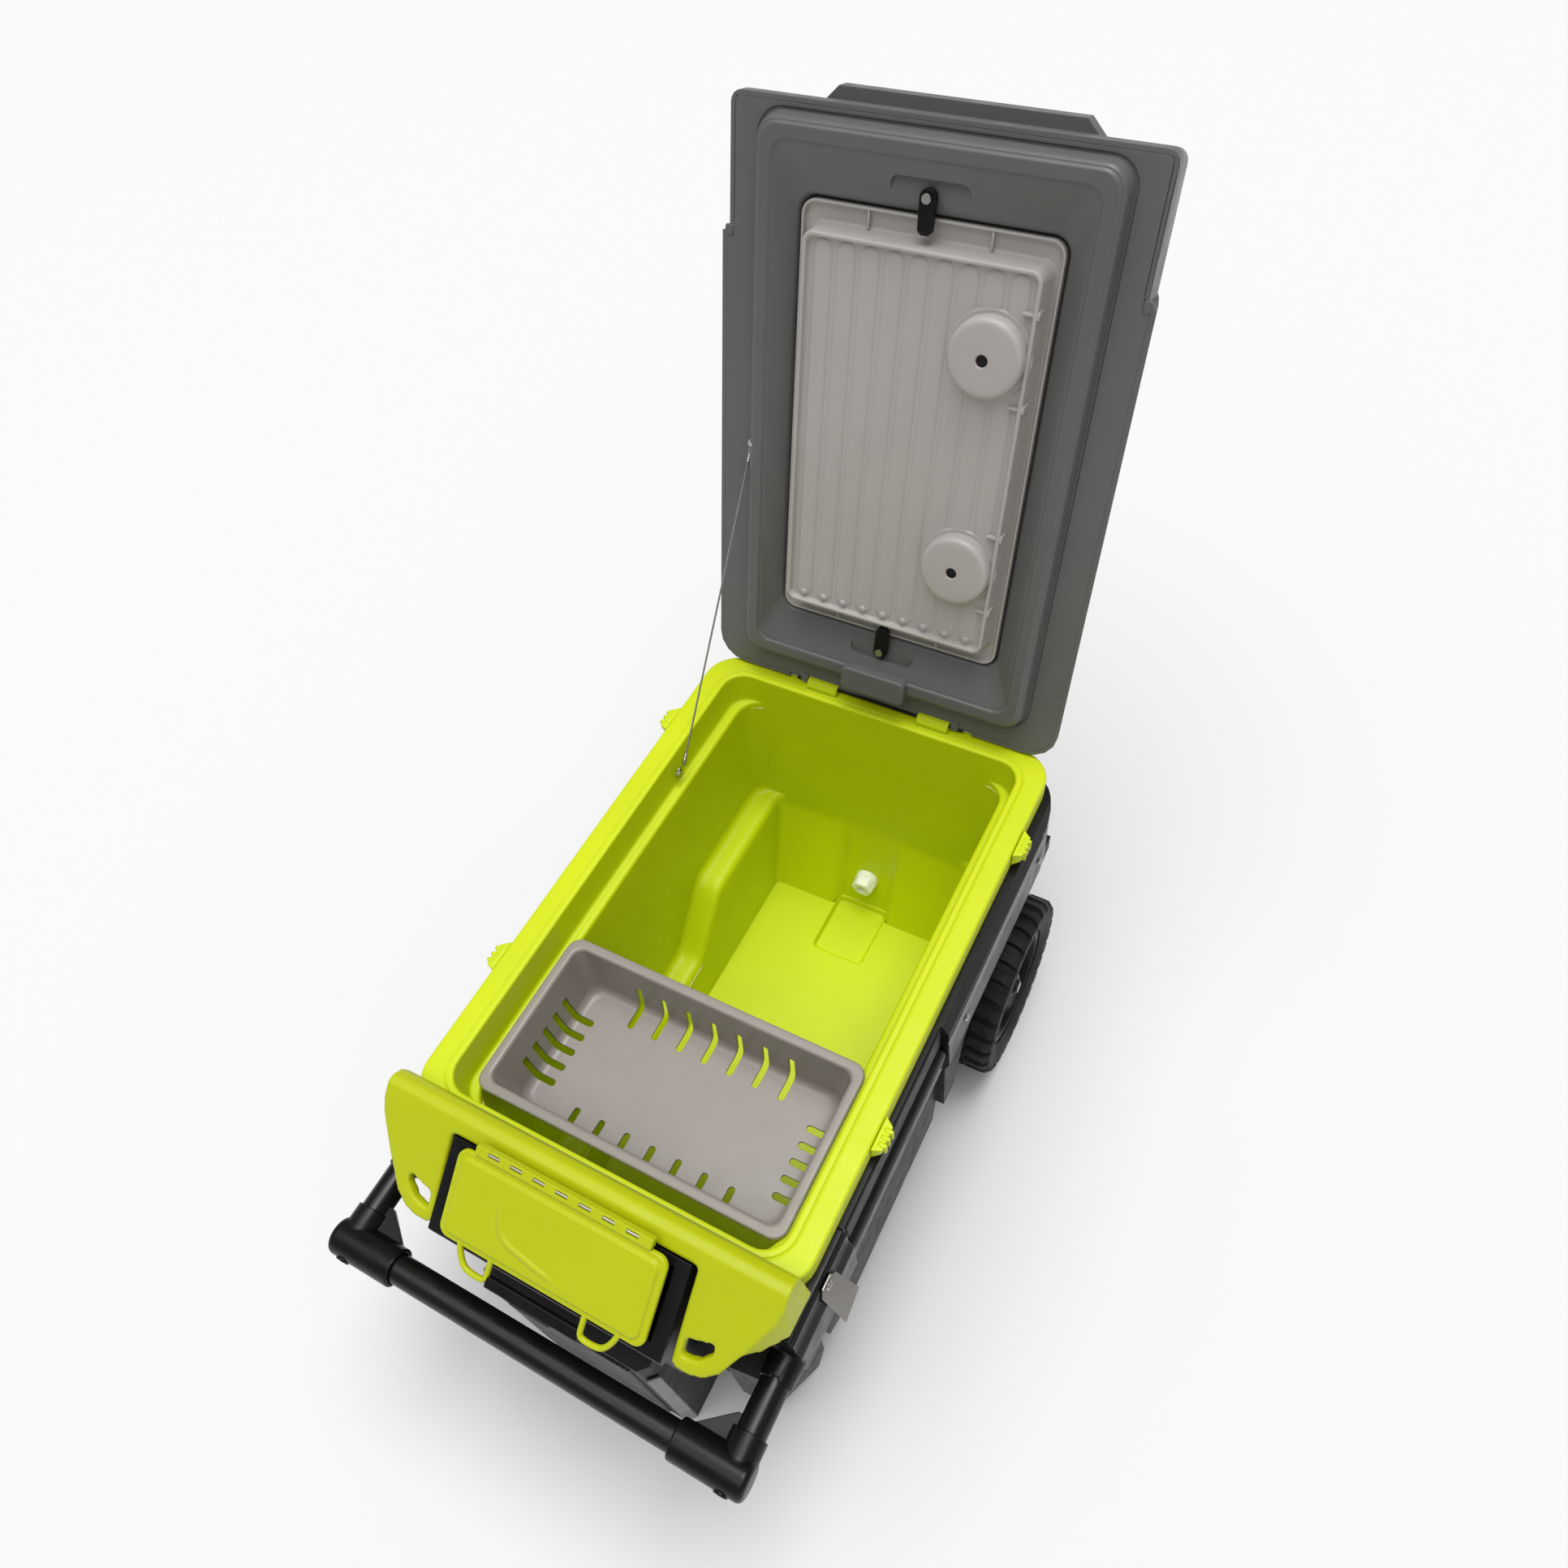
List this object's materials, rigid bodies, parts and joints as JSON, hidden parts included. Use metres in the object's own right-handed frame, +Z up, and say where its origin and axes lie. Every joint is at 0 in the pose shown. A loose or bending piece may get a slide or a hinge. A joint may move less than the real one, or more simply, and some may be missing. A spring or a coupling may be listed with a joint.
{
  "type": "wheeled cooler",
  "caption": "Insulated cooler on wheels with an open hinged lid, pull-out handle, hanging food basket and a front storage bin.",
  "frame": {"origin": "on the ground at the middle of the footprint of the whole cooler, lid open", "axes": "+X to the cooler's right seen from behind the handle, +Y towards the wheels and lid hinge, +Z up"},
  "size_m": [0.552, 1.1098, 1.0976],
  "materials": {
    "lime_plastic": "satin",
    "black_plastic": "satin",
    "charcoal_plastic": "matte",
    "handle_tube": "satin",
    "lid_plastic": "satin",
    "tray_plastic": "satin",
    "basket_plastic": "satin",
    "tyre_rubber": "matte",
    "stainless_steel": "satin",
    "trim_plastic": "satin",
    "drain_plastic": "satin",
    "foam": "matte"
  },
  "bodies": {
    "tub": {"axle_left": "stainless_steel", "axle_right": "stainless_steel", "bottle_opener": "stainless_steel", "drain_nut": "drain_plastic", "drain_spout": "drain_plastic", "flap_hinge_strip": "lime_plastic", "front_bumper": "lime_plastic", "front_corner_guard_left": "charcoal_plastic", "front_corner_guard_right": "charcoal_plastic", "front_foot_frame": "charcoal_plastic", "front_mesh_panel": "black_plastic", "handle_socket_left": "black_plastic", "handle_socket_right": "black_plastic", "hinge_knuckle_left": "lime_plastic", "hinge_knuckle_right": "lime_plastic", "hinge_pin": "black_plastic", "insulation_foam": "foam", "opener_screw": "stainless_steel", "outer_body": "black_plastic", "rail_screw_front_left": "stainless_steel", "rail_screw_front_right": "stainless_steel", "rail_screw_rear_left": "stainless_steel", "rail_screw_rear_right": "stainless_steel", "rail_trim_left": "trim_plastic", "rail_trim_right": "trim_plastic", "side_rail_left": "black_plastic", "side_rail_right": "black_plastic", "side_skirt_left": "charcoal_plastic", "side_skirt_right": "charcoal_plastic", "side_strip_left": "charcoal_plastic", "side_strip_right": "charcoal_plastic", "stay_cable": "stainless_steel", "stay_screw_tub": "stainless_steel", "storage_bin": "black_plastic", "tie_down_cleat_front_left": "lime_plastic", "tie_down_cleat_front_right": "lime_plastic", "tie_down_cleat_rear_left": "lime_plastic", "tie_down_cleat_rear_right": "lime_plastic", "tub_liner": "lime_plastic"},
    "lid": {"lid_shell": "lid_plastic", "lid_liner": "lid_plastic", "lid_foam": "foam", "serving_tray": "tray_plastic", "tray_clip_front_screw": "stainless_steel", "tray_clip_rear_screw": "stainless_steel"},
    "tray_clip_front": {"tray_clip_front": "black_plastic"},
    "tray_clip_rear": {"tray_clip_rear": "black_plastic"},
    "storage_flap": {"storage_flap": "lime_plastic"},
    "flap_latch": {"flap_latch": "black_plastic"},
    "wheel_left": {"tyre_left": "tyre_rubber", "wheel_hub_left": "black_plastic"},
    "wheel_right": {"tyre_right": "tyre_rubber", "wheel_hub_right": "black_plastic"},
    "handle": {"handle_tube_left": "handle_tube", "handle_tube_right": "handle_tube", "handle_tee_left": "black_plastic", "handle_tee_right": "black_plastic", "handle_grip": "handle_tube"},
    "food_basket": {"food_basket": "basket_plastic"},
    "drain_cap": {"drain_cap": "black_plastic"}
  },
  "joints": [
    {"name": "lid_hinge", "type": "hinge", "parent": "tub", "child": "lid", "pos_m": [0, 0.3121, 0.449], "axis": [1, 0, 0], "range_deg": [0, 106], "deforming": ["stay_cable"]},
    {"name": "tray_clip_front_turn", "type": "hinge", "parent": "lid", "child": "tray_clip_front", "pos_m": [0, 0.4676, 1.0348], "axis": [0, -0.9613, 0.2756], "range_deg": [-90, 90]},
    {"name": "tray_clip_rear_turn", "type": "hinge", "parent": "lid", "child": "tray_clip_rear", "pos_m": [0, 0.3243, 0.535], "axis": [0, -0.9613, 0.2756], "range_deg": [-90, 90]},
    {"name": "storage_flap_hinge", "type": "hinge", "parent": "tub", "child": "storage_flap", "pos_m": [0, -0.4068, 0.4888], "axis": [-1, 0, 0], "range_deg": [0, 110]},
    {"name": "flap_latch_turn", "type": "hinge", "parent": "storage_flap", "child": "flap_latch", "pos_m": [0, -0.4979, 0.4104], "axis": [-1, 0, 0], "range_deg": [0, 60]},
    {"name": "wheel_left_spin", "type": "hinge", "parent": "tub", "child": "wheel_left", "pos_m": [-0.241, 0.1651, 0.127], "axis": [1, 0, 0], "continuous": true},
    {"name": "wheel_right_spin", "type": "hinge", "parent": "tub", "child": "wheel_right", "pos_m": [0.241, 0.1651, 0.127], "axis": [1, 0, 0], "continuous": true},
    {"name": "handle_slide", "type": "slide", "parent": "tub", "child": "handle", "axis": [0, -1, 0], "range_m": [0, 0.33]},
    {"name": "food_basket_slide", "type": "slide", "parent": "tub", "child": "food_basket", "axis": [0, 1, 0], "range_m": [0, 0.4]},
    {"name": "drain_cap_turn", "type": "hinge", "parent": "tub", "child": "drain_cap", "pos_m": [0, 0.3231, 0.108], "axis": [0, 1, 0], "range_deg": [0, 90]}
  ]
}
